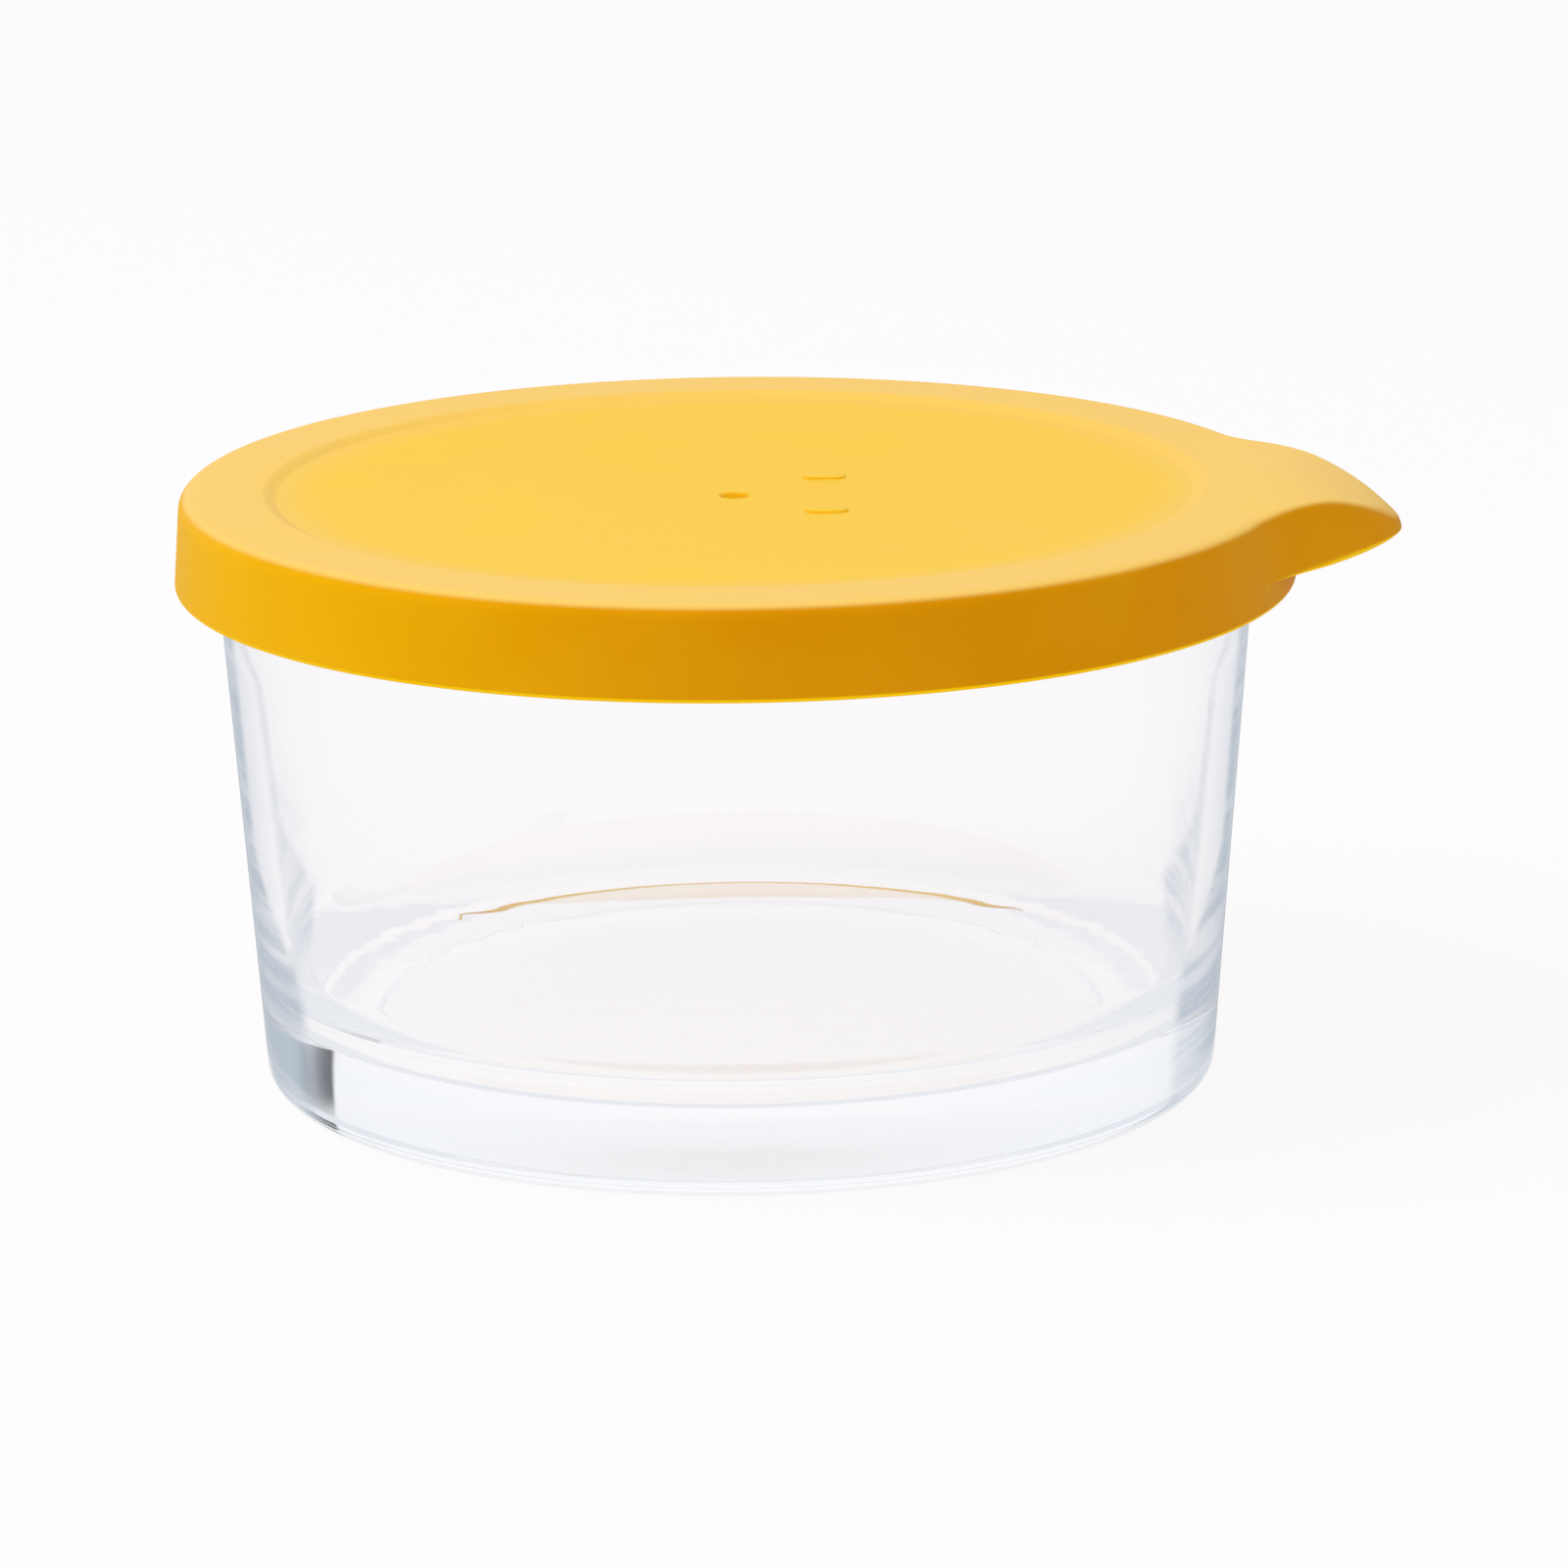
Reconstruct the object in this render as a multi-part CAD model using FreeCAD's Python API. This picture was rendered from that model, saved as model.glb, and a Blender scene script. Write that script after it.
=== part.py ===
import FreeCAD, Part
import math
import os

# Round glass food container with a push-on lid, in millimetres, +Z up.
# The origin is the middle of the ring that the bowl stands on.
# The lid's pull tab points along +X.

# Bowl: one piece of pressed glass, turned about Z.
foot_radius = 58.0              # where the line of the outer wall meets the ground
wall_lean = 0.0764              # outward lean of the wall for each millimetre of height
wall_thickness = 3.4
bowl_height = 70.5
foot_corner_radius = 2.6
floor_thickness = 9.5
cavity_corner_radius = 10.0     # inside, between the floor and the wall
push_up_radius = 45.0           # shallow hollow under the floor
push_up_depth = 1.0
bead_rise = 1.4                 # bead round the outside of the rim, which the lid is pushed over
bead_height = 4.2

# Lid: one soft moulding over the rim.
lid_top = 73.1
lid_bottom = 61.8
lid_top_radius = 67.2
lid_bottom_radius = 68.0
crease_radius = 1.8             # rounding between the top and the skirt
lower_edge_radius = 0.6
recess_radius = 57.0            # edge of the sunk middle panel
recess_depth = 0.75
recess_blend = 0.6
panel_thickness = 2.0
gate_dimple_radius = 2.1        # moulding mark in the middle of the panel
gate_dimple_depth = 0.5
inner_blend = 0.7               # rounding of the corners inside the lid

# The skirt's inside, with the ridge that catches under the bowl's bead.
skirt_inner_radius = 65.0
skirt_mouth_radius = 65.4
ridge_inner_radius = 63.5
ridge_height = 64.0
ridge_width = 2.4

# The plug, a ring that goes into the bowl's mouth, with a lip that seals against the glass.
plug_outer_radius = 59.2
plug_thickness = 1.6
plug_bottom = 65.6
lip_radius = 59.7
lip_height = 67.4
lip_width = 2.0

# Pull tab, drawn out of the skirt.
tab_tip_x = 81.0
tab_tip_radius = 10.7           # rounding of the tip, seen from above
tab_side_angle = 43.5           # degrees between each side and the X axis
tab_root_blend = 22.0           # hollow rounding where each side leaves the skirt
tab_rise_x = 58.5               # where the back of the tab starts to rise
tab_crest_x = 65.5
tab_crest_rise = 0.8
tab_bend_x = 74.8               # a point on the way down to the tip
tab_bend_drop = 1.3
tab_tip_drop = 5.0
tab_underside_root = 65.2       # height of the underside beside the skirt
tab_underside_tip = 66.5

origin = FreeCAD.Vector(0, 0, 0)
z_axis = FreeCAD.Vector(0, 0, 1)
spare = 5.0                     # how far cutting solids reach past what they cut


# A point of a profile in the XZ plane.
def at(x, z):
    return FreeCAD.Vector(x, 0, z)


def line(start, end):
    return Part.LineSegment(start, end).toShape()


def arc(start, middle, end):
    return Part.Arc(start, middle, end).toShape()


# The start, middle and end of the arc that rounds a corner between two straight sides.
def rounded(before, corner, after, radius):
    to_before = (before - corner).normalize()
    to_after = (after - corner).normalize()
    half_angle = to_before.getAngle(to_after) / 2
    reach = radius / math.tan(half_angle)
    inward = (to_before + to_after).normalize()
    start = corner + to_before * reach
    middle = corner + inward * (radius / math.sin(half_angle) - radius)
    end = corner + to_after * reach
    return start, middle, end


# A closed loop of edges from points and arcs. An arc is given by its start, middle and end.
def closed_profile(steps):
    edges = []
    ends = [(step, step) if isinstance(step, FreeCAD.Vector) else (step[0], step[2]) for step in steps]
    for index, step in enumerate(steps):
        if not isinstance(step, FreeCAD.Vector):
            edges.append(arc(*step))
        here = ends[index][1]
        following = ends[(index + 1) % len(steps)][0]
        if here.distanceToPoint(following) > 1e-6:
            edges.append(line(here, following))
    return Part.Face(Part.Wire(edges))


def turned(steps):
    return closed_profile(steps).revolve(origin, z_axis, 360)


def extruded_across(steps, half_width):
    face = closed_profile(steps)
    face.translate(FreeCAD.Vector(0, -half_width, 0))
    return face.extrude(FreeCAD.Vector(0, 2 * half_width, 0))


def outer_wall(height):
    return at(foot_radius + wall_lean * height, height)


def inner_wall(height):
    return at(foot_radius + wall_lean * height - wall_thickness, height)


def make_bowl():
    rim_radius = wall_thickness / 2
    shoulder = bowl_height - rim_radius
    bead_bottom = shoulder - bead_height
    bead_middle = shoulder - bead_height / 2
    bead_crest = outer_wall(bead_middle) + at(bead_rise, 0)
    rim_top = outer_wall(shoulder) + at(-rim_radius, rim_radius)
    foot_middle = at(0, 0)
    foot_corner = rounded(foot_middle, outer_wall(0), outer_wall(bead_bottom), foot_corner_radius)
    floor_middle = at(0, floor_thickness)
    floor_edge = inner_wall(floor_thickness)
    cavity_corner = rounded(inner_wall(shoulder), floor_edge, floor_middle, cavity_corner_radius)
    push_up_edge = at(push_up_radius, 0)
    push_up_flank = at(push_up_radius / 2, push_up_depth * 3 / 4)
    push_up_middle = at(0, push_up_depth)
    return turned([
        (push_up_middle, push_up_flank, push_up_edge),
        foot_corner,
        (outer_wall(bead_bottom), bead_crest, outer_wall(shoulder)),
        (outer_wall(shoulder), rim_top, inner_wall(shoulder)),
        cavity_corner,
        floor_middle,
    ])


# The lid seen from above: a circle drawn out into the pull tab, all of it tangent.
# Radius is the circle's, and the tab grows or shrinks with it.
def lid_outline(radius, height):
    growth = radius - lid_top_radius
    tip_radius = tab_tip_radius + growth
    root_blend = tab_root_blend - growth
    angle = math.radians(tab_side_angle)
    side_normal = FreeCAD.Vector(math.sin(angle), math.cos(angle), 0)
    side_run = FreeCAD.Vector(-math.cos(angle), math.sin(angle), 0)
    tip_centre = FreeCAD.Vector(tab_tip_x - tab_tip_radius, 0, 0)
    side_start = tip_centre + side_normal * tip_radius

    # The blend touches the side and the circle from outside, so its centre is one
    # blend radius from the side and both radii from the middle of the lid.
    beside = side_start + side_normal * root_blend
    along = beside.dot(side_run)
    reach = radius + root_blend
    run = -along - math.sqrt(along ** 2 - beside.dot(beside) + reach ** 2)
    blend_centre = beside + side_run * run
    side_end = blend_centre - side_normal * root_blend
    circle_end = blend_centre * (radius / reach)
    blend_direction = ((side_end + circle_end) / 2 - blend_centre).normalize()
    blend_middle = blend_centre + blend_direction * root_blend
    tip = FreeCAD.Vector(tip_centre.x + tip_radius, 0, 0)
    back = FreeCAD.Vector(-radius, 0, 0)

    def mirrored(point):
        return FreeCAD.Vector(point.x, -point.y, 0)

    outline = Part.Wire([
        arc(circle_end, back, mirrored(circle_end)),
        arc(mirrored(circle_end), mirrored(blend_middle), mirrored(side_end)),
        line(mirrored(side_end), mirrored(side_start)),
        arc(mirrored(side_start), tip, side_start),
        line(side_start, side_end),
        arc(side_end, blend_middle, circle_end),
    ])
    outline.translate(FreeCAD.Vector(0, 0, height))
    return outline


# What lies over the lid: its underside is flat over the ring and follows the tab's
# back, which swells a little, bends over and droops to the tip.
def space_above():
    past_tip = tab_tip_x + spare
    ceiling = lid_top + 2 * spare
    rise = at(tab_rise_x, lid_top)
    droop = (tab_tip_drop - tab_bend_drop) / (tab_tip_x - tab_bend_x)
    back = Part.BSplineCurve()
    back.interpolate(
        [
            rise,
            at(tab_crest_x, lid_top + tab_crest_rise),
            at(tab_bend_x, lid_top - tab_bend_drop),
            at(tab_tip_x, lid_top - tab_tip_drop),
            at(past_tip, lid_top - tab_tip_drop - 2 * droop * spare),
        ],
        InitialTangent=at(1, 0),
        FinalTangent=at(1, -3 * droop),
    )
    loop = Part.Wire([
        line(at(-past_tip, lid_top), rise),
        back.toShape(),
        line(back.EndPoint, at(past_tip, ceiling)),
        line(at(past_tip, ceiling), at(-past_tip, ceiling)),
        line(at(-past_tip, ceiling), at(-past_tip, lid_top)),
    ])
    half_width = lid_bottom_radius + spare
    face = Part.Face(loop)
    face.translate(FreeCAD.Vector(0, -half_width, 0))
    return face.extrude(FreeCAD.Vector(0, 2 * half_width, 0))


def flare(height):
    share = (lid_top - height) / (lid_top - lid_bottom)
    return lid_top_radius + (lid_bottom_radius - lid_top_radius) * share


# What lies under the tab, round the outside of the skirt.
def space_under_tab():
    low = lid_bottom - spare
    high = lid_top + spare
    under = extruded_across(
        [
            at(0, low),
            at(tab_tip_x + spare, low),
            at(tab_tip_x + spare, tab_underside_tip),
            at(lid_bottom_radius, tab_underside_root),
            at(0, tab_underside_root),
        ],
        lid_bottom_radius,
    )
    skirt = Part.makeCone(flare(low), flare(high), high - low, at(0, low))
    return under.cut(skirt)


def is_crease(edge):
    middle = edge.valueAt((edge.FirstParameter + edge.LastParameter) / 2)
    on_top = edge.BoundBox.ZMin > tab_underside_tip
    return on_top and math.hypot(middle.x, middle.y) > recess_radius + spare


def make_lid_outside():
    over = lid_top + spare
    low_outline = lid_outline(lid_bottom_radius, lid_bottom)
    high_outline = lid_outline(flare(over), over)
    body = Part.makeLoft([low_outline, high_outline], True, True)
    body = body.cut(space_above())
    body = body.makeFillet(crease_radius, [edge for edge in body.Edges if is_crease(edge)])
    return body.cut(space_under_tab())


def recess_and_dimple():
    panel = lid_top - recess_depth
    recess = turned([
        at(0, panel),
        rounded(at(0, panel), at(recess_radius - recess_depth, panel), at(recess_radius, lid_top), recess_blend),
        at(recess_radius + spare, lid_top + spare),
        at(0, lid_top + spare),
    ])
    ball_radius = (gate_dimple_radius ** 2 + gate_dimple_depth ** 2) / (2 * gate_dimple_depth)
    dimple = Part.makeSphere(ball_radius, at(0, panel + ball_radius - gate_dimple_depth))
    return recess.fuse(dimple)


# The hollow under the lid: the plug stands down into it, and the bowl's rim fills the
# channel between the plug and the skirt.
def hollow_under_lid():
    panel_bottom = lid_top - recess_depth - panel_thickness
    plug_inner_radius = plug_outer_radius - plug_thickness
    low = lid_bottom - spare
    plug_top_inside = at(plug_inner_radius, panel_bottom)
    plug_foot_inside = at(plug_inner_radius, plug_bottom)
    plug_foot_outside = at(plug_outer_radius, plug_bottom)
    channel_inside = at(plug_outer_radius, bowl_height)
    channel_outside = at(skirt_inner_radius, bowl_height)
    lip_top = at(plug_outer_radius, lip_height + lip_width / 2)
    lip_foot = at(plug_outer_radius, lip_height - lip_width / 2)
    ridge_top = at(skirt_inner_radius, ridge_height + ridge_width / 2)
    ridge_foot = at(skirt_mouth_radius, ridge_height - ridge_width / 2)
    return turned([
        at(0, low),
        at(0, panel_bottom),
        rounded(at(0, panel_bottom), plug_top_inside, plug_foot_inside, inner_blend),
        rounded(plug_top_inside, plug_foot_inside, plug_foot_outside, inner_blend),
        rounded(plug_foot_inside, plug_foot_outside, channel_inside, inner_blend),
        (lip_foot, at(lip_radius, lip_height), lip_top),
        rounded(lip_top, channel_inside, channel_outside, inner_blend),
        rounded(channel_inside, channel_outside, ridge_top, inner_blend),
        (ridge_top, at(ridge_inner_radius, ridge_height), ridge_foot),
        at(skirt_mouth_radius, low),
    ])


def is_lower_edge(edge):
    box = edge.BoundBox
    return box.ZMax < lid_bottom + 0.01 and box.ZMin > lid_bottom - 0.01


def make_lid():
    lid = make_lid_outside()
    lid = lid.cut(recess_and_dimple())
    lid = lid.cut(hollow_under_lid())
    lid = lid.removeSplitter()
    lid = lid.makeFillet(lower_edge_radius, [edge for edge in lid.Edges if is_lower_edge(edge)])
    return lid.Solids[0]


parts = {"glass_bowl": make_bowl(), "lid": make_lid()}
os.makedirs("parts", exist_ok=True)
for name, solid in parts.items():
    solid.exportStep("parts/" + name + ".step")
    box = solid.BoundBox
    size = [round(length, 2) for length in (box.XLength, box.YLength, box.ZLength)]
    print(name, solid.ShapeType, solid.isValid(), round(solid.Volume / 1000, 1), "cm3", size)
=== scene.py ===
import math
import bpy
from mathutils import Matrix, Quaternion, Vector
from mathutils.kdtree import KDTree


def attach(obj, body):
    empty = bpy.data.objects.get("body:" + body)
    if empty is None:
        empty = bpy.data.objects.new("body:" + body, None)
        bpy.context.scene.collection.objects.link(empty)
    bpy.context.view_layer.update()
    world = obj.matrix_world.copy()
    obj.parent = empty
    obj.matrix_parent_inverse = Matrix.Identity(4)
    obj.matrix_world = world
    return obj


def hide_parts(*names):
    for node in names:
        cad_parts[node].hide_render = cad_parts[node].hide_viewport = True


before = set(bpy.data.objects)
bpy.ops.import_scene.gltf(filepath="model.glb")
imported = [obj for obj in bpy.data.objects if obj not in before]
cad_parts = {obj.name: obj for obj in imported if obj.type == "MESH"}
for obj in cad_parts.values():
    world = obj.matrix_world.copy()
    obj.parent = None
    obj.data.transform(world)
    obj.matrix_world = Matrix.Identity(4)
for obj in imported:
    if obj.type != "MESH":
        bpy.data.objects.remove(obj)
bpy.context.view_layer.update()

# Sizes below are in millimetres and angles in degrees, unless a note says otherwise.
mm = 0.001
mergeWithin = 0.002 * mm   # points nearer to each other than this become one
middleWithin = 0.01 * mm   # points nearer to the XZ plane than this lie on it
fullTurn = 2 * math.pi


# A number, colour or vector on its way through a material. Sums and products of
# numbers add Math nodes.
class Signal:
    def __init__(self, graph, socket):
        self.graph = graph
        self.socket = socket

    def math(self, operation, *values):
        return self.graph.add("ShaderNodeMath", {"operation": operation}, dict(enumerate(values)))

    def __add__(self, other):
        return self.math("ADD", self, other)

    def __radd__(self, other):
        return self.math("ADD", other, self)

    def __sub__(self, other):
        return self.math("SUBTRACT", self, other)

    def __rsub__(self, other):
        return self.math("SUBTRACT", other, self)

    def __mul__(self, other):
        return self.math("MULTIPLY", self, other)

    def __rmul__(self, other):
        return self.math("MULTIPLY", other, self)

    def clamped(self):
        return self.graph.add("ShaderNodeClamp", {}, {0: self})


# The node tree of one material or world.
class Graph:
    def __init__(self, owner):
        owner.use_nodes = True
        self.tree = owner.node_tree
        self.tree.nodes.clear()

    # Any node: its type, its settings, then what its sockets get. Gives one of its outputs.
    def add(self, kind, settings, inputs, output=0):
        node = self.tree.nodes.new(kind)
        for name, value in settings.items():
            setattr(node, name, value)
        for name, value in inputs.items():
            if isinstance(value, Signal):
                self.tree.links.new(value.socket, node.inputs[name])
            else:
                node.inputs[name].default_value = value
        return Signal(self, node.outputs[output]) if node.outputs else None

    def mixed(self, share, first, second):
        return self.add("ShaderNodeMixShader", {}, {0: share, 1: first, 2: second})

    def blended(self, share, first, second):
        return self.add("ShaderNodeMix", {"data_type": "RGBA"}, {0: share, 6: first, 7: second}, 2)

    def ramp(self, value, low, high):
        settings = {"interpolation_type": "SMOOTHSTEP"}
        return self.add("ShaderNodeMapRange", settings, {0: value, 1: low, 2: high})

    def part(self, vector, axis):
        return self.add("ShaderNodeSeparateXYZ", {}, {0: vector}, axis)

    def place(self):
        return self.add("ShaderNodeTexCoord", {}, {}, "Object")

    def stretched(self, place, factors):
        return self.add("ShaderNodeVectorMath", {"operation": "MULTIPLY"}, {0: place, 1: factors}, "Vector")

    def radius(self, place):
        flat = self.stretched(place, (1, 1, 0))
        return self.add("ShaderNodeVectorMath", {"operation": "LENGTH"}, {0: flat}, "Value")

    def noise(self, place, scale, detail):
        return self.add("ShaderNodeTexNoise", {}, {"Vector": place, "Scale": scale, "Detail": detail})

    # Rays that come straight from the camera, off a shiny surface or through glass.
    def seen(self):
        camera = self.add("ShaderNodeLightPath", {}, {}, "Is Camera Ray")
        glossy = self.add("ShaderNodeLightPath", {}, {}, "Is Glossy Ray")
        through = self.add("ShaderNodeLightPath", {}, {}, "Is Transmission Ray")
        return (camera + glossy + through).clamped()


view = {
    "distance": 1000, "lookHeight": 35, "lens": 187.8, "elevation": 14.1, "roll": 0.6,
    "pan": 5.6, "tilt": 0.4,                  # how far the aim moves right and up
    "near": 0.01, "far": 100,                 # metres
}


def makeCamera():
    elevation = math.radians(view["elevation"])
    back = view["distance"] * math.cos(elevation)
    up = view["distance"] * math.sin(elevation)
    place = Vector((0, -back, view["lookHeight"] + up))
    target = Vector((view["pan"], 0, view["lookHeight"] + view["tilt"]))
    turn = (target - place).to_track_quat("-Z", "Y")
    bpy.ops.object.camera_add(location=place * mm)
    camera = bpy.context.object
    camera.rotation_mode = "QUATERNION"
    camera.rotation_quaternion = turn @ Quaternion((0, 0, 1), -math.radians(view["roll"]))
    camera.data.lens = view["lens"]
    camera.data.clip_start = view["near"]
    camera.data.clip_end = view["far"]
    bpy.context.scene.camera = camera


studio = {
    "floorSize": 60.0,                       # metres, so that its edge is out of sight
    "gap": 0.03,                             # between the floor and the glass
    "floorColour": (0.9, 0.9, 0.905, 1),
    "white": (1.0, 0.99, 1.0, 1),
    "floorReflection": (0.42, 0.47, 0.53, 1),    # the floor as shiny surfaces see it, beside the bowl
    "footReflection": (0.74, 0.77, 0.81, 1),     # and under its foot
    "footFrom": 59.0, "footTo": 62.0,            # the second changes to the first between these radii
    "floorGlow": 0.9,                        # how much of the floor's shadow is lifted to white
    "skyLight": (0.62, 0.62, 0.64, 1),       # what lights the container from all round
    "darkScreen": (0.04, 0.04, 0.055, 1),    # a dark screen at the right gives the glass its edges
    "greyScreen": (0.75, 0.8, 0.84, 1),      # and fades to this
    "screenFrom": 0.7, "screenTo": 0.715, "greyTo": 0.86,    # by how far the way looks to +X
    "lampsAim": (0, 0, 0.04),                # metres, as the lamps' places and sizes are
    "keyPlace": (-0.9, -0.3, 1.3), "keySize": 0.9, "keyWatts": 13.0,
    "fillPlace": (0.8, -1.2, 0.7), "fillSize": 0.9, "fillWatts": 4,
}


def makeFloor():
    bpy.ops.mesh.primitive_plane_add(size=studio["floorSize"], location=(0, 0, -studio["gap"] * mm))
    floor = bpy.context.object
    floor.name = "studioFloor"
    material = bpy.data.materials.new("paleFloor")
    graph = Graph(material)
    matt = graph.add("ShaderNodeBsdfDiffuse", {}, {"Color": studio["floorColour"]})
    glossy = graph.add("ShaderNodeLightPath", {}, {}, "Is Glossy Ray")
    through = graph.add("ShaderNodeLightPath", {}, {}, "Is Transmission Ray")
    beside = graph.ramp(graph.radius(graph.place()), studio["footFrom"] * mm, studio["footTo"] * mm)
    reflection = graph.blended(beside, studio["footReflection"], studio["floorReflection"])
    colour = graph.blended(glossy * (1 - through), studio["white"], reflection)
    bright = graph.add("ShaderNodeEmission", {}, {"Color": colour, "Strength": 1.0})
    surface = graph.mixed(graph.seen() * studio["floorGlow"], matt, bright)
    graph.add("ShaderNodeOutputMaterial", {}, {"Surface": surface})
    floor.data.materials.append(material)


def makeWorld():
    world = bpy.data.worlds.new("studio")
    bpy.context.scene.world = world
    graph = Graph(world)
    across = graph.part(graph.add("ShaderNodeTexCoord", {}, {}, "Generated"), "X")
    dark = graph.ramp(across, studio["screenFrom"], studio["screenTo"])
    grey = graph.ramp(across, studio["screenTo"], studio["greyTo"])
    screen = graph.blended(grey, studio["darkScreen"], studio["greyScreen"])
    behind = graph.blended(dark, studio["white"], screen)
    through = graph.add("ShaderNodeLightPath", {}, {}, "Is Transmission Ray")
    behind = graph.blended(through, studio["white"], behind)
    colour = graph.blended(graph.seen(), studio["skyLight"], behind)
    background = graph.add("ShaderNodeBackground", {}, {"Color": colour, "Strength": 1.0})
    graph.add("ShaderNodeOutputWorld", {}, {"Surface": background})


def makeLamp(name):
    place = Vector(studio[name + "Place"])
    bpy.ops.object.light_add(type="AREA", location=place)
    lamp = bpy.context.object
    lamp.name = name + "Lamp"
    lamp.data.size = studio[name + "Size"]
    lamp.data.energy = studio[name + "Watts"]
    lamp.rotation_mode = "QUATERNION"
    lamp.rotation_quaternion = (Vector(studio["lampsAim"]) - place).to_track_quat("-Z", "Y")
    lamp.visible_camera = False
    lamp.visible_glossy = False
    lamp.visible_transmission = False


def deselectAll():
    if bpy.context.object and bpy.context.object.mode == "EDIT":
        bpy.ops.object.mode_set(mode="OBJECT")
    bpy.ops.object.select_all(action="DESELECT")


# Points of the arc through three points, both ends included.
def arcThrough(start, middle, end, count):
    first, second, third = Vector(start), Vector(middle), Vector(end)
    toSecond = second - first
    toThird = third - first
    cross = 2 * (toSecond.x * toThird.y - toSecond.y * toThird.x)
    reachX = (toThird.y * toSecond.length_squared - toSecond.y * toThird.length_squared) / cross
    reachY = (toSecond.x * toThird.length_squared - toThird.x * toSecond.length_squared) / cross
    centre = first + Vector((reachX, reachY))
    radius = (first - centre).length
    angles = [math.atan2(point.y - centre.y, point.x - centre.x) for point in (first, second, third)]
    sweep = (angles[2] - angles[0]) % fullTurn
    if (angles[1] - angles[0]) % fullTurn > sweep:
        sweep -= fullTurn
    turns = [angles[0] + sweep * step / count for step in range(count + 1)]
    return [(centre.x + radius * math.cos(turn), centre.y + radius * math.sin(turn)) for turn in turns]


# Points of the arc that rounds a corner between two straight sides.
def rounded(before, corner, after, radius, count):
    before, corner, after = Vector(before), Vector(corner), Vector(after)
    toBefore = (before - corner).normalized()
    toAfter = (after - corner).normalized()
    halfAngle = toBefore.angle(toAfter) / 2
    reach = radius / math.tan(halfAngle)
    inward = (toBefore + toAfter).normalized()
    middle = corner + inward * (radius / math.sin(halfAngle) - radius)
    return arcThrough(corner + toBefore * reach, middle, corner + toAfter * reach, count)


# A closed piece turned about Z: a small plane is merged to one point, the point is
# extruded along the profile, and the profile is spun.
def turnedPiece(name, profile, steps):
    deselectAll()
    bpy.ops.mesh.primitive_plane_add(size=mm, location=(profile[0][0] * mm, 0, profile[0][1] * mm))
    piece = bpy.context.object
    piece.name = name
    bpy.ops.object.mode_set(mode="EDIT")
    bpy.ops.mesh.select_all(action="SELECT")
    bpy.ops.mesh.merge(type="CENTER")
    for before, after in zip(profile, profile[1:]):
        step = ((after[0] - before[0]) * mm, 0, (after[1] - before[1]) * mm)
        bpy.ops.mesh.extrude_vertices_move(TRANSFORM_OT_translate={"value": step})
    bpy.ops.mesh.select_all(action="SELECT")
    bpy.ops.mesh.spin(steps=steps, angle=fullTurn, center=(0, 0, 0), axis=(0, 0, 1))
    bpy.ops.mesh.select_all(action="SELECT")
    bpy.ops.mesh.remove_doubles(threshold=mergeWithin)
    bpy.ops.mesh.normals_make_consistent(inside=False)
    bpy.ops.object.mode_set(mode="OBJECT")
    bpy.ops.object.transform_apply(location=True, rotation=True, scale=True)
    return piece


def finishPiece(piece, material):
    piece.data.materials.clear()
    piece.data.materials.append(material)
    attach(piece, "root")
    print(piece.name, len(piece.data.polygons), "faces")


bowl = {
    "footRadius": 58.0, "wallLean": 0.0764, "wall": 3.4, "height": 70.5, "footCorner": 2.6,
    "thinFrom": 20.0, "thinning": 0.026,      # the wall thins above this height, by this much for each mm
    "floor": 9.5, "cavityCorner": 10.0,
    # the hollow underneath, which begins with a small step
    "pushUpRadius": 45.0, "pushUpDepth": 1.0, "pushUpStep": 0.3, "pushUpBlend": 0.8,
    "beadRise": 1.4, "beadHeight": 4.2,
    "rippleFrom": 20.0, "rippleTo": 34.0, "ripple": 0.002, "rippleLength": 4.0,    # inside the wall
    "steps": 320, "smoothAngle": 25,
    "hold": 0.4,                              # a row of points this near a rounding keeps the rest straight
    "wallRows": (20.0, 40.0), "mouthRow": 66.0, "insideRow": 62, "rowStep": 2,
    "floorRow": 20.0, "floorHold": 0.5,
    # flow lines in the wall: their heights, how they fade in and out, their depth and how close they lie
    "wavesFrom": 11.0, "wavesTo": 38.0, "wavesIn": 4.0, "wavesOut": 12.0,
    "waves": 0.05, "waveStretch": (14, 14, 330),
    "tint": (1.0, 0.994, 0.998, 1), "baseTint": (0.94, 0.97, 1.0, 1), "baseHeight": 9.0, "baseFade": 2.0,
    "uprightUntil": 0.25, "flatFrom": 0.7,    # by how far a face looks up or down
    # Painted shade darkens the wall where it is seen edge-on, and a painted highlight lightens its
    # outermost line.
    "paintedEdgeShade": (0.4, 0.47, 0.54, 1), "edgeFrom": 0.79, "edgeTo": 0.85,    # by how edge-on the wall is seen
    "rimFrom": 0.87, "rimTo": 0.93, "rimLight": 0.6,    # the outermost line of the wall is lighter again
    "streakStretch": (25, 25, 420), "streakFrom": 0.32, "streakTo": 0.62, "streak": 0.75, "leastEdge": 0.35,
    "thickEdge": 0.2, "thickFrom": 34.0, "thickTo": 16.0,    # how much wider the dark edge is low down
    "hollowRoughness": 0.1, "hollowFrom": 0.2, "hollowTo": 1.0, "hollowTop": 1.2, "hollowFade": 0.4,
    "shadowTint": (0.93, 0.94, 0.95, 1),
    "mostBounces": 5, "insideLight": (0.84, 0.86, 0.9, 1),   # a ray trapped in the glass ends in soft light
}


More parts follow.
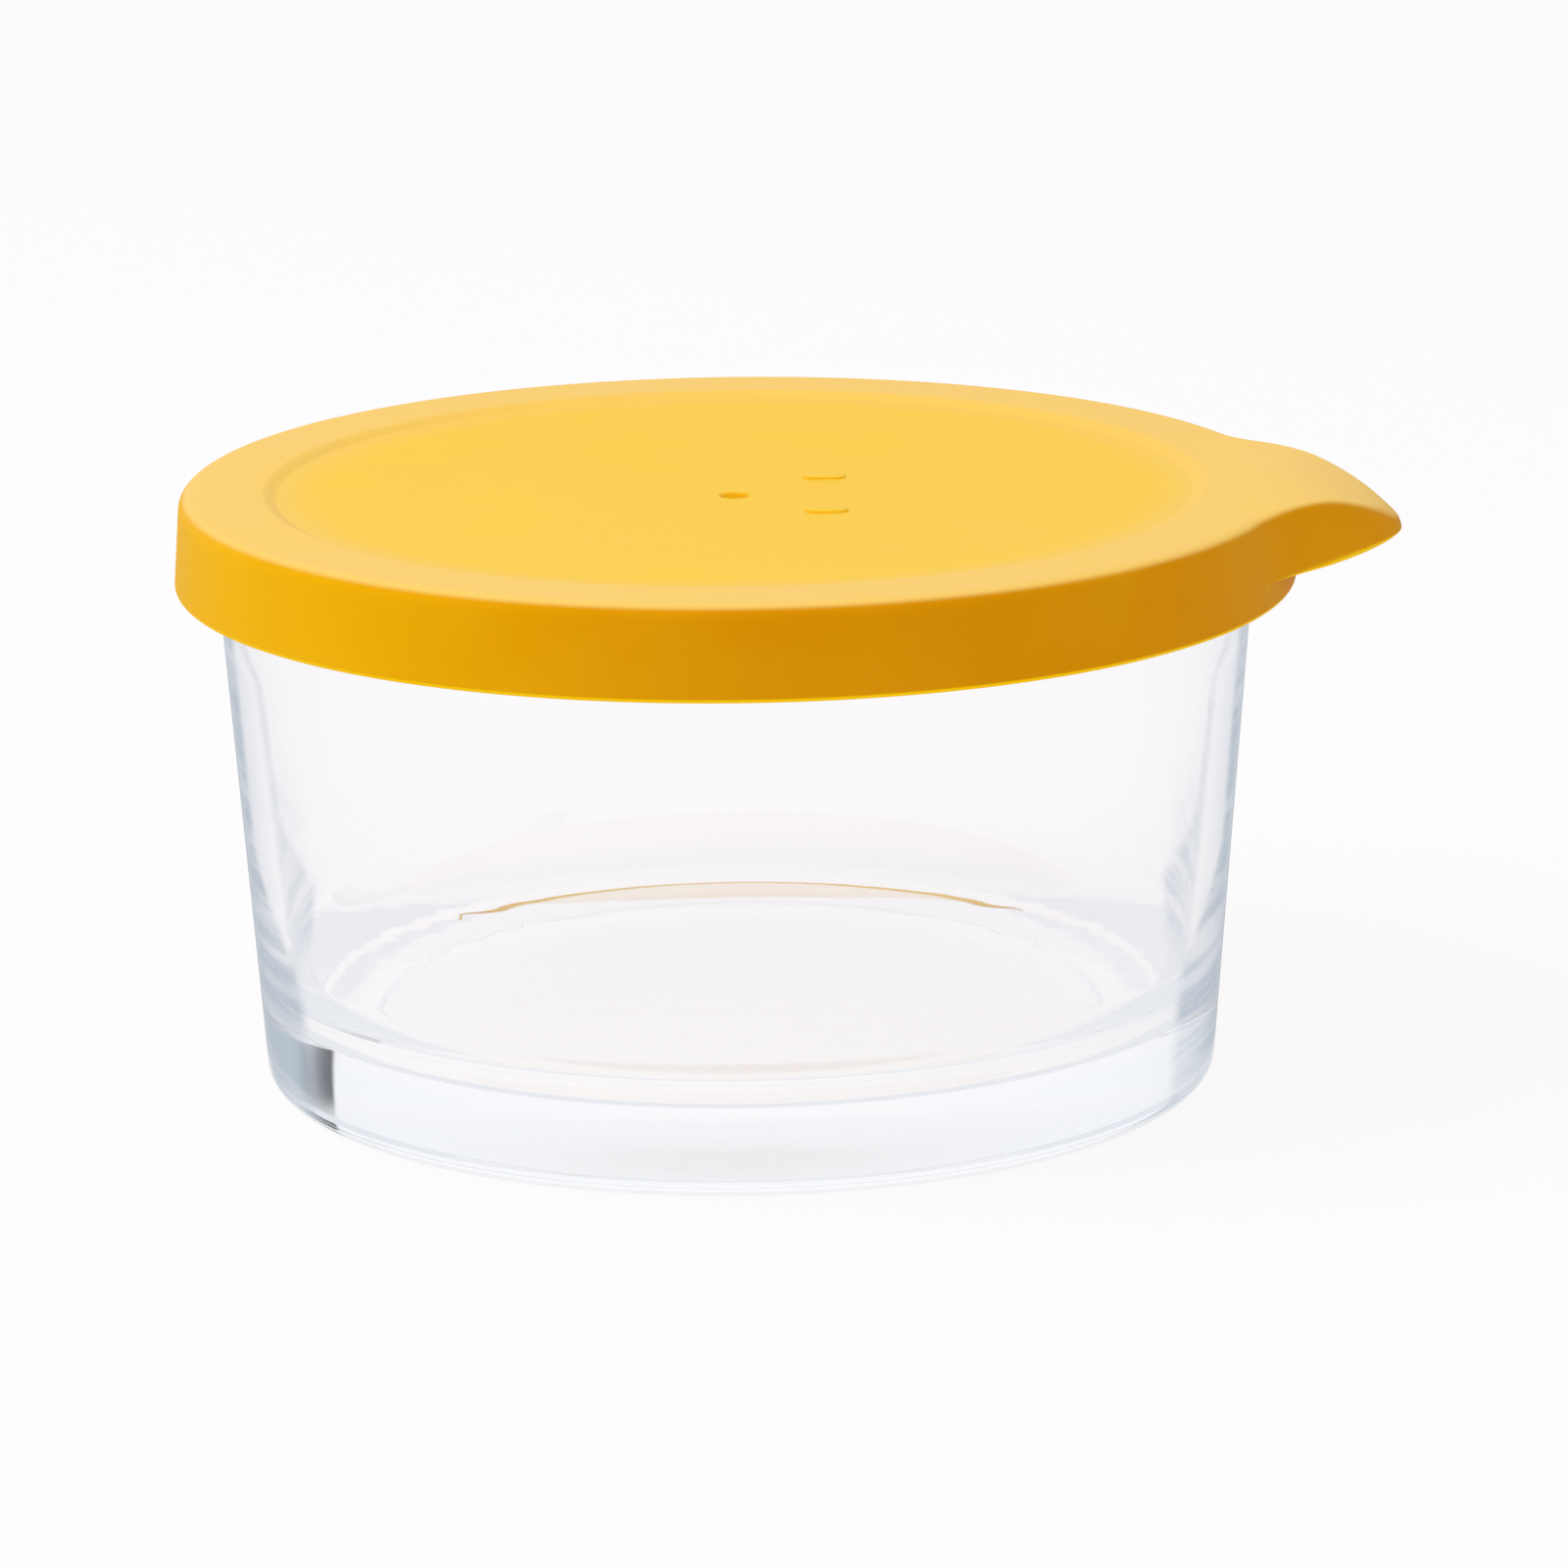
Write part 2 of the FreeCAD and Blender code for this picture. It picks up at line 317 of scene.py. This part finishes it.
def bowlProfile():
    b = bowl

    def outer(z):
        return (b["footRadius"] + b["wallLean"] * z, z)

    shoulder = b["height"] - b["wall"] / 2
    mouth = outer(shoulder)[0] - b["wall"]

    # The wall thins above the cavity's corner, until its inside is as wide as the mouth.
    def inner(z):
        return (min(mouth, outer(z)[0] - b["wall"] + b["thinning"] * max(0, z - b["thinFrom"])), z)

    beadLow = shoulder - b["beadHeight"]
    beadMiddle = shoulder - b["beadHeight"] / 2
    beadCrest = (outer(beadMiddle)[0] + b["beadRise"], beadMiddle)
    rimTop = (outer(shoulder)[0] - b["wall"] / 2, b["height"])
    swell = b["pushUpDepth"] - b["pushUpStep"]
    hollowEdge = (b["pushUpRadius"] - 2 * b["pushUpStep"], b["pushUpStep"])
    hollowFoot = (b["pushUpRadius"], 0)
    count = 18
    shares = [step / count for step in range(count + 1)]
    points = [(hollowEdge[0] * s, hollowEdge[1] + swell * (1 + math.cos(math.pi * s)) / 2) for s in shares]
    points += rounded((0, hollowEdge[1]), hollowEdge, hollowFoot, b["pushUpBlend"], count=4)
    points += rounded(hollowEdge, hollowFoot, outer(0), b["pushUpBlend"], count=4)
    foot = rounded((0, 0), outer(0), outer(beadLow), b["footCorner"], count=12)
    points += [(foot[0][0] - b["hold"], 0)] + foot
    points += [outer(z) for z in (foot[-1][1] + b["hold"], *b["wallRows"], beadLow - b["hold"])]
    points += arcThrough(outer(beadLow), beadCrest, outer(shoulder), count=12)
    points += arcThrough(outer(shoulder), rimTop, inner(shoulder), count=14)[1:]
    insideRows = range(b["insideRow"], int(b["rippleTo"]), -b["rowStep"])
    points += [inner(z) for z in (shoulder - b["hold"], b["mouthRow"], *insideRows)]
    count = 28
    for step in range(count + 1):
        z = b["rippleTo"] + (b["rippleFrom"] - b["rippleTo"]) * step / count
        wave = math.sin(math.pi * step / count) * math.sin(fullTurn * z / b["rippleLength"])
        points.append((inner(z)[0] + b["ripple"] * wave, z))
    cavity = rounded(inner(b["thinFrom"]), inner(b["floor"]), (0, b["floor"]), b["cavityCorner"], count=24)
    points += cavity
    points += [(radius, b["floor"]) for radius in (cavity[-1][0] - b["floorHold"], b["floorRow"], 0)]
    return points


# Shadow and diffuse rays pass through, so that the lamps light what is in and under the glass.
def clearGlass():
    b = bowl
    material = bpy.data.materials.new("clearGlass")
    graph = Graph(material)
    place = graph.place()
    height = graph.part(place, "Z")
    radius = graph.radius(place)
    upward = graph.part(graph.add("ShaderNodeNewGeometry", {}, {}, "Normal"), "Z")
    upright = 1 - graph.ramp(upward.math("ABSOLUTE", upward), b["uprightUntil"], b["flatFrom"])

    # Painted shade: the edges of the wall are painted darker, in streaks, and wider low down where it
    # thickens.
    facing = graph.add("ShaderNodeLayerWeight", {}, {"Blend": 0.5}, "Facing")
    thick = 1 - graph.ramp(height, b["thickTo"] * mm, b["thickFrom"] * mm)
    streaks = graph.noise(graph.stretched(place, b["streakStretch"]), scale=1.0, detail=2.0)
    edge = graph.ramp(facing + thick * b["thickEdge"], b["edgeFrom"], b["edgeTo"]) * upright
    # A painted highlight makes the outermost line of the wall lighter again.
    edge = edge * (1 - graph.ramp(facing, b["rimFrom"], b["rimTo"]) * b["rimLight"])
    edge = edge * (graph.ramp(streaks, b["streakFrom"], b["streakTo"]) * b["streak"] + b["leastEdge"])
    low = (1 - graph.ramp(height, b["baseHeight"] * mm, (b["baseHeight"] + b["baseFade"]) * mm)) * upright
    tint = graph.blended(low, b["tint"], b["baseTint"])
    tint = graph.blended(edge.clamped(), tint, b["paintedEdgeShade"])

    # The hollow underneath is slightly rough, so that it mirrors nothing sharply.
    reach = [(b["pushUpRadius"] + extra) * mm for extra in (b["hollowFrom"], b["hollowTo"])]
    hollow = 1 - graph.ramp(radius, *reach)
    hollow = hollow * (1 - graph.ramp(height, b["hollowTop"] * mm, (b["hollowTop"] + b["hollowFade"]) * mm))

    waves = graph.noise(graph.stretched(place, b["waveStretch"]), scale=1.0, detail=1.0) * upright
    waves = waves * graph.ramp(height, b["wavesFrom"] * mm, (b["wavesFrom"] + b["wavesIn"]) * mm)
    waves = waves * (1 - graph.ramp(height, (b["wavesTo"] - b["wavesOut"]) * mm, b["wavesTo"] * mm))
    relief = graph.add("ShaderNodeBump", {}, {
        "Strength": 1.0, "Distance": b["waves"] * mm, "Height": waves,
    })
    glass = graph.add("ShaderNodeBsdfPrincipled", {}, {
        "Base Color": tint, "Roughness": hollow * b["hollowRoughness"], "IOR": 1.5,
        "Transmission Weight": 1.0, "Normal": relief,
    })

    shadow = graph.add("ShaderNodeLightPath", {}, {}, "Is Shadow Ray")
    diffuse = graph.add("ShaderNodeLightPath", {}, {}, "Is Diffuse Ray")
    clear = graph.add("ShaderNodeBsdfTransparent", {}, {"Color": b["shadowTint"]})
    # A painted glow: past the last bounce, the glass shows a pale emission instead of tracing on.
    depth = graph.add("ShaderNodeLightPath", {}, {}, "Ray Depth")
    trapped = depth.math("GREATER_THAN", depth, b["mostBounces"])
    inside = graph.add("ShaderNodeEmission", {}, {"Color": b["insideLight"], "Strength": 1.0})
    surface = graph.mixed(trapped, glass, inside)
    surface = graph.mixed((shadow + diffuse).clamped(), surface, clear)
    graph.add("ShaderNodeOutputMaterial", {}, {"Surface": surface})
    return material


def makeBowl():
    piece = turnedPiece("bowlGlass", bowlProfile(), bowl["steps"])
    bpy.ops.object.shade_smooth_by_angle(angle=math.radians(bowl["smoothAngle"]))
    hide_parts("glass_bowl")
    finishPiece(piece, clearGlass())


lid = {
    "top": 73.1, "bottom": 61.8, "topRadius": 67.2, "bottomRadius": 68.0,
    "crease": 1.8, "lowerEdge": 0.6, "mouthEdge": 0.3, "innerBlend": 0.7,     # the roundings
    "recessRadius": 57.0, "recessDepth": 0.75, "recessSlope": 1.5, "recessBlend": 1.8, "panel": 2.0,
    "sag": 0.8,                               # the soft panel hangs a little in its middle
    "dimpleRadius": 2.0, "dimpleDepth": 0.65, "dimpleHold": 0.15,
    "skirtInside": 65.0, "skirtMouth": 65.4, "ridge": 63.5, "ridgeHeight": 64.0, "ridgeWidth": 2.4,
    "plugOutside": 59.2, "plug": 1.6, "plugBottom": 65.6, "lip": 59.7, "lipHeight": 67.4, "lipWidth": 2.0,
    "channelTop": 70.5, "steps": 384, "smoothAngle": 32,
    # rows of points: the panel's by radius on both its sides, the skirt's by height
    "panelRows": range(6, 55, 4), "panelUnderRows": range(54, 2, -6),
    "skirtRows": (70.8, 69.5, 68.0), "lowRows": (64.2, 63.0),
    "ringFrom": 49.0, "ringTo": 60.0,         # the rim's paler colour fades in between these radii
    # The rim's paler, bluer colour is a painted sheen on the same plastic as the panel.
    "topColour": (0.9, 0.565, 0.045, 1), "paintedSheenColour": (0.89, 0.573, 0.135, 1),
    # The skirt's colour is painted shade: darker and more orange than the top of the same plastic.
    "shadedSkirtColour": (0.66, 0.262, 0.0, 1), "paintedLitSkirtColour": (0.84, 0.45, 0.0, 1),
    # Painted light: faces that look down, such as the tab's lower edge, are painted lighter as if lit by
    # the floor.
    "paintedBounceColour": (1.0, 0.6, 0.0, 1),
    # Painted light: the skirt's side towards the key lamp at -X is painted lighter and yellower.
    "litFrom": -0.1, "litTo": 1.2,            # by how far the skirt looks to -X
    "lowerFrom": 0.0, "lowerTo": 0.4,         # by how far the lid looks down
    "topFrom": 0.55, "topTo": 0.92,           # and up
    "dimpleSpotColour": (0.78, 0.36, 0.0, 1), "dimpleSpotFrom": 1.47, "dimpleSpotTo": 2.1,    # the dimple's darker spot
    "cloudScale": 55.0, "mottleColour": (1.0, 0.72, 0.03, 1), "mottle": 0.05,
    "mottleFrom": 0.35, "mottleTo": 0.7,
    "roughness": 0.42, "roughnessSpread": 0.1, "specular": 0.025,
    "grainScale": 2600.0, "grain": 0.06, "grainHeight": 0.05,
}

tab = {
    "length": 13.2, "width": 26.5,            # how far the tip is drawn out, and how wide the pull reaches
    "from": 58.3,                             # radius on the top where the pull begins
    "under": 65.2, "lowerEdge": 1.4,          # height of the underside, and the rounding of its edge
    "underRows": 9, "topRows": 16, "edgeRows": 6,
    "rowDrop": 0.012,                         # each row underneath lies this much lower than the one before
    "flatEnd": 0.3, "edgeHold": 0.4,          # how near the roundings the rows beside them lie
    "cageBack": 56.0, "cageFront": 83.0, "cageHalfWidth": 28.0,
    # how far the top of the tab is lifted at even steps from the back of the cage to its front
    "lift": (0, 0.12, 0.52, 0.78, 0.6, -0.05, -1.05, -2.5, -4.45, -6.4),
    "across": (0, 0.65, 1, 0.65, 0),          # how the swelling fades to both sides
    "follow": (-0.22, 0.1, 0.55, 1.0),        # how much of that each height takes, from the underside up
}


def sagAt(radius):
    return lid["sag"] * (1 - (radius / lid["recessRadius"]) ** 2)


# The lid's profile, from the middle of its top over the outside and back under it. Each
# point is a radius, a height and the share of the tab's length that its ring is drawn out by.
def lidProfile():
    p = lid
    panel = p["top"] - p["recessDepth"]
    panelUnder = panel - p["panel"]
    plugInside = p["plugOutside"] - p["plug"]

    def outer(z):
        share = (p["top"] - z) / (p["top"] - p["bottom"])
        return (p["topRadius"] + (p["bottomRadius"] - p["topRadius"]) * share, z)

    dimpleBall = (p["dimpleRadius"] ** 2 + p["dimpleDepth"] ** 2) / (2 * p["dimpleDepth"])
    dimpleFlank = p["dimpleRadius"] / 2
    dimpleDrop = dimpleBall - math.sqrt(dimpleBall ** 2 - dimpleFlank ** 2)
    middle = panel - p["sag"]
    dimpleFloor = middle - p["dimpleDepth"]
    dimpleSide = (dimpleFlank, dimpleFloor + dimpleDrop)
    still = arcThrough((0, dimpleFloor), dimpleSide, (p["dimpleRadius"], middle), count=6)
    still += [(p["dimpleRadius"] + p["dimpleHold"], middle)]
    still += [(radius, panel - sagAt(radius)) for radius in p["panelRows"]]
    recessFoot = (p["recessRadius"] - p["recessSlope"], panel)
    recessTop = (p["recessRadius"], p["top"])
    still += rounded((0, panel), recessFoot, recessTop, p["recessBlend"], count=5)
    still += rounded(recessFoot, recessTop, (p["topRadius"], p["top"]), p["recessBlend"], count=5)
    rows = [(radius, z, 0) for radius, z in still]

    crease = rounded((0, p["top"]), outer(p["top"]), outer(p["bottom"]), p["crease"], count=10)
    flatEnd = crease[0][0] - tab["flatEnd"]
    for step in range(tab["topRows"] + 1):
        share = step / tab["topRows"]
        rows.append((tab["from"] + (flatEnd - tab["from"]) * share, p["top"], share))
    rows += [(radius, z, 1) for radius, z in crease]
    edgeTop = tab["under"] + tab["lowerEdge"]
    rows += [(*outer(z), 1) for z in (*p["skirtRows"], edgeTop + tab["edgeHold"])]
    for step in range(tab["edgeRows"] + 1):
        angle = math.pi / 2 * (1 - step / tab["edgeRows"])
        z = edgeTop - tab["lowerEdge"] * math.cos(angle)
        rows.append((*outer(z), 1 - tab["lowerEdge"] * (1 - math.sin(angle)) / tab["length"]))
    lastShare = rows[-1][2]
    for step in range(1, tab["underRows"] + 1):
        z = tab["under"] - tab["rowDrop"] * step
        rows.append((*outer(z), lastShare * (1 - step / tab["underRows"])))

    plugTop = (plugInside, panelUnder)
    plugFootInside = (plugInside, p["plugBottom"])
    plugFootOutside = (p["plugOutside"], p["plugBottom"])
    channelInside = (p["plugOutside"], p["channelTop"])
    channelOutside = (p["skirtInside"], p["channelTop"])
    lipTop = (p["plugOutside"], p["lipHeight"] + p["lipWidth"] / 2)
    lipFoot = (p["plugOutside"], p["lipHeight"] - p["lipWidth"] / 2)
    ridgeTop = (p["skirtInside"], p["ridgeHeight"] + p["ridgeWidth"] / 2)
    ridgeFoot = (p["skirtMouth"], p["ridgeHeight"] - p["ridgeWidth"] / 2)
    mouth = (p["skirtMouth"], p["bottom"])
    foot = outer(p["bottom"])
    blend = p["innerBlend"]
    still = [outer(z) for z in p["lowRows"]]
    still += rounded(outer(p["top"]), foot, mouth, p["lowerEdge"], count=6)
    still += rounded(foot, mouth, ridgeFoot, p["mouthEdge"], count=3)
    still += arcThrough(ridgeFoot, (p["ridge"], p["ridgeHeight"]), ridgeTop, count=10)
    still += rounded(ridgeTop, channelOutside, channelInside, blend, count=5)
    still += rounded(channelOutside, channelInside, plugFootOutside, blend, count=5)
    still += arcThrough(lipTop, (p["lip"], p["lipHeight"]), lipFoot, count=8)
    still += rounded(channelInside, plugFootOutside, plugFootInside, blend, count=5)
    still += rounded(plugFootOutside, plugFootInside, plugTop, blend, count=5)
    still += rounded(plugFootInside, plugTop, (0, panelUnder), blend, count=5)
    still += [(radius, panelUnder - sagAt(radius)) for radius in (*p["panelUnderRows"], 0)]
    return rows + [(radius, z, 0) for radius, z in still]


# Draws the tab out of the lid: the rings that share one pull are left unhidden, and
# their points over +X are moved with a smooth falloff round them.
def drawOutTab(piece, profile):
    places = KDTree(len(profile))
    for index, (radius, z, share) in enumerate(profile):
        places.insert((radius * mm, 0, z * mm), index)
    places.balance()
    points = piece.data.vertices
    shares = [profile[places.find((math.hypot(p.co.x, p.co.y), 0, p.co.z))[1]][2] for p in points]
    bpy.ops.object.mode_set(mode="EDIT")
    bpy.ops.mesh.select_all(action="DESELECT")
    bpy.ops.object.mode_set(mode="OBJECT")
    for pull in sorted(set(shares) - {0}):
        for point, share in zip(points, shares):
            point.hide = share != pull
            point.select = share == pull and point.co.x > 0 and abs(point.co.y) < middleWithin
        bpy.ops.object.mode_set(mode="EDIT")
        bpy.ops.transform.translate(
            value=(pull * tab["length"] * mm, 0, 0), use_proportional_edit=True,
            proportional_edit_falloff="SMOOTH", proportional_size=tab["width"] * mm)
        bpy.ops.object.mode_set(mode="OBJECT")
    bpy.ops.object.mode_set(mode="EDIT")
    bpy.ops.mesh.reveal(select=False)
    bpy.ops.object.mode_set(mode="OBJECT")


# A lattice swells the root of the tab and lets its tip droop.
def bendTab(piece):
    t = tab
    low, high = t["under"], lid["top"]
    length = t["cageFront"] - t["cageBack"]
    middle = Vector(((t["cageBack"] + t["cageFront"]) / 2, 0, (low + high) / 2))
    bpy.ops.object.add(type="LATTICE", location=middle * mm)
    cage = bpy.context.object
    cage.scale = Vector((length, 2 * t["cageHalfWidth"], high - low)) * mm
    cage.data.points_u = len(t["lift"])
    cage.data.points_v = len(t["across"])
    cage.data.points_w = len(t["follow"])
    cage.data.interpolation_type_u = "KEY_CATMULL_ROM"
    cage.data.interpolation_type_v = "KEY_CATMULL_ROM"
    cage.data.interpolation_type_w = "KEY_LINEAR"
    places = [(u, v, w) for w in t["follow"] for v in t["across"] for u in t["lift"]]
    for point, (lift, fade, follow) in zip(cage.data.points, places):
        rise = lift * fade if lift > 0 else lift
        rise = rise * max(follow, 0) if lift > 0 else rise * follow
        point.co_deform.z += rise / (high - low)
    deselectAll()
    bpy.context.view_layer.objects.active = piece
    piece.select_set(True)
    bpy.ops.object.modifier_add(type="LATTICE")
    piece.modifiers[0].object = cage
    bpy.ops.object.modifier_apply(modifier=piece.modifiers[0].name)
    bpy.data.objects.remove(cage)


def lidPlastic(name, shadedSideColour, paintedLitSideColour):
    p = lid
    material = bpy.data.materials.new(name)
    graph = Graph(material)
    place = graph.place()
    normal = graph.add("ShaderNodeNewGeometry", {}, {}, "Normal")
    upward = graph.part(normal, "Z")
    # Painted light: where the skirt faces -X, towards the key lamp, its colour is painted lighter and
    # yellower.
    lit = graph.ramp(0 - graph.part(normal, "X"), p["litFrom"], p["litTo"])
    skirt = graph.blended(lit, shadedSideColour, paintedLitSideColour)
    # Painted bounce light: faces that look down are painted lighter, as if the floor lit them.
    lower = graph.ramp(0 - upward, p["lowerFrom"], p["lowerTo"])
    skirt = graph.blended(lower, skirt, p["paintedBounceColour"])
    radius = graph.radius(place)
    # Painted sheen: the rim round the recessed panel is painted paler and bluer.
    ring = graph.ramp(radius, p["ringFrom"] * mm, p["ringTo"] * mm)
    top = graph.blended(ring, p["topColour"], p["paintedSheenColour"])
    # Darker inside the dimple.
    dimpleSpot = 1 - graph.ramp(radius, p["dimpleSpotFrom"] * mm, p["dimpleSpotTo"] * mm)
    top = graph.blended(dimpleSpot, top, p["dimpleSpotColour"])
    # Painted shade: faces that don't look up take the darker, more orange side colour instead of the top's.
    colour = graph.blended(graph.ramp(upward, p["topFrom"], p["topTo"]), skirt, top)
    clouds = graph.noise(place, p["cloudScale"], detail=3.0)
    mottle = graph.ramp(clouds, p["mottleFrom"], p["mottleTo"]) * p["mottle"]
    colour = graph.blended(mottle, colour, p["mottleColour"])
    roughness = p["roughness"] + (clouds - 0.5) * p["roughnessSpread"]
    grain = graph.noise(place, p["grainScale"], detail=2.0)
    bump = graph.add("ShaderNodeBump", {}, {
        "Strength": p["grain"], "Distance": p["grainHeight"] * mm, "Height": grain,
    })
    skin = graph.add("ShaderNodeBsdfPrincipled", {}, {
        "Base Color": colour, "Roughness": roughness, "IOR": 1.5,
        "Specular IOR Level": p["specular"], "Normal": bump,
    })
    graph.add("ShaderNodeOutputMaterial", {}, {"Surface": skin})
    return material


def makeLid():
    profile = lidProfile()
    piece = turnedPiece("lidShell", [row[:2] for row in profile], lid["steps"])
    drawOutTab(piece, profile)
    bendTab(piece)
    bpy.ops.object.shade_smooth_by_angle(angle=math.radians(lid["smoothAngle"]))
    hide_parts("lid")
    plastic = lidPlastic("lidPlastic", lid["shadedSkirtColour"], lid["paintedLitSkirtColour"])
    finishPiece(piece, plastic)


marks = {
    "x": 11.0, "acrossAt": (-9.8, 9.8), "length": 5.2, "width": 2.8, "thick": 0.7, "rise": 0.33,
    "corner": 1.2, "edge": 0.28, "smoothAngle": 20, "shadedSideColour": (0.86, 0.48, 0.01, 1),
}


# Bevels the edges whose two ends pass a test.
def bevelEdges(piece, wanted, offset, segments):
    bpy.ops.object.mode_set(mode="EDIT")
    bpy.ops.mesh.select_mode(type="EDGE")
    bpy.ops.mesh.select_all(action="DESELECT")
    bpy.ops.object.mode_set(mode="OBJECT")
    for edge in piece.data.edges:
        edge.select = wanted(*[piece.data.vertices[index].co for index in edge.vertices])
    bpy.ops.object.mode_set(mode="EDIT")
    bpy.ops.mesh.bevel(offset=offset * mm, segments=segments)
    bpy.ops.object.mode_set(mode="OBJECT")


# Two plain raised bars stand beside the dimple.
def makeMarks():
    m = marks
    radius = math.hypot(m["x"], m["acrossAt"][0])
    height = lid["top"] - lid["recessDepth"] - sagAt(radius) + m["rise"] - m["thick"] / 2

    def isUpright(first, second):
        return abs(first.z - second.z) > 0.5 * m["thick"] * mm

    def isOnTop(first, second):
        return min(first.z, second.z) > height * mm

    bars = []
    for y in m["acrossAt"]:
        deselectAll()
        bpy.ops.mesh.primitive_cube_add(size=1, location=(m["x"] * mm, y * mm, height * mm))
        bar = bpy.context.object
        bar.scale = Vector((m["length"], m["width"], m["thick"])) * mm
        bpy.ops.object.transform_apply(location=True, rotation=True, scale=True)
        bevelEdges(bar, isUpright, m["corner"], segments=6)
        bevelEdges(bar, isOnTop, m["edge"], segments=3)
        bpy.ops.object.shade_smooth_by_angle(angle=math.radians(m["smoothAngle"]))
        bars.append(bar)
    for bar in bars:
        bar.select_set(True)
    bpy.context.view_layer.objects.active = bars[0]
    bpy.ops.object.join()
    bars[0].name = "lidMarks"
    # The bars' sides get a darker, more orange colour as painted shade, which outlines them.
    plastic = lidPlastic("markPlastic", m["shadedSideColour"], m["shadedSideColour"])
    finishPiece(bars[0], plastic)


makeCamera()
makeFloor()
makeWorld()
makeLamp("key")
makeLamp("fill")
print("studio ready")
makeBowl()
makeLid()
makeMarks()
bpy.context.scene.view_settings.view_transform = "Standard"
